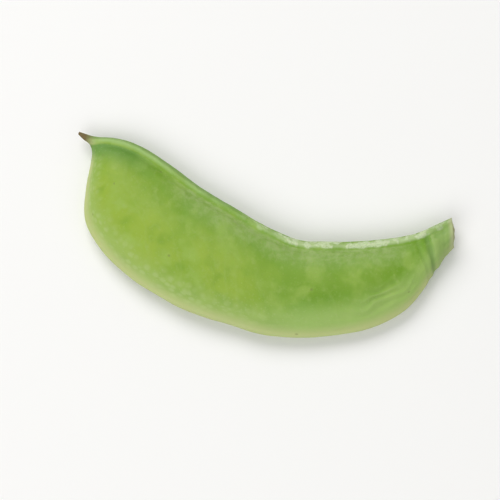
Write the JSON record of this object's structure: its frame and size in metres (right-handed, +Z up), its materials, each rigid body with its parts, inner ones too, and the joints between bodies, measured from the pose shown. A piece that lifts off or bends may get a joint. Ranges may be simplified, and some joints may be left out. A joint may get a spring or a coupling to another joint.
{
  "type": "lima bean pod",
  "caption": "Flat crescent-shaped legume pod lying on its side, with a raised seed suture, a slender dry beak and a blunt stalk end.",
  "frame": {"origin": "middle of the pod's footprint, on the surface that it lies on", "axes": "+X along the pod from its beak to its stalk end, +Y across it from the convex keel to the concave suture, +Z up through the two flat valves"},
  "size_m": [0.0866, 0.0346, 0.0082],
  "materials": {
    "pod_skin": "satin"
  },
  "bodies": {
    "root": {"pod": "pod_skin"}
  },
  "joints": []
}
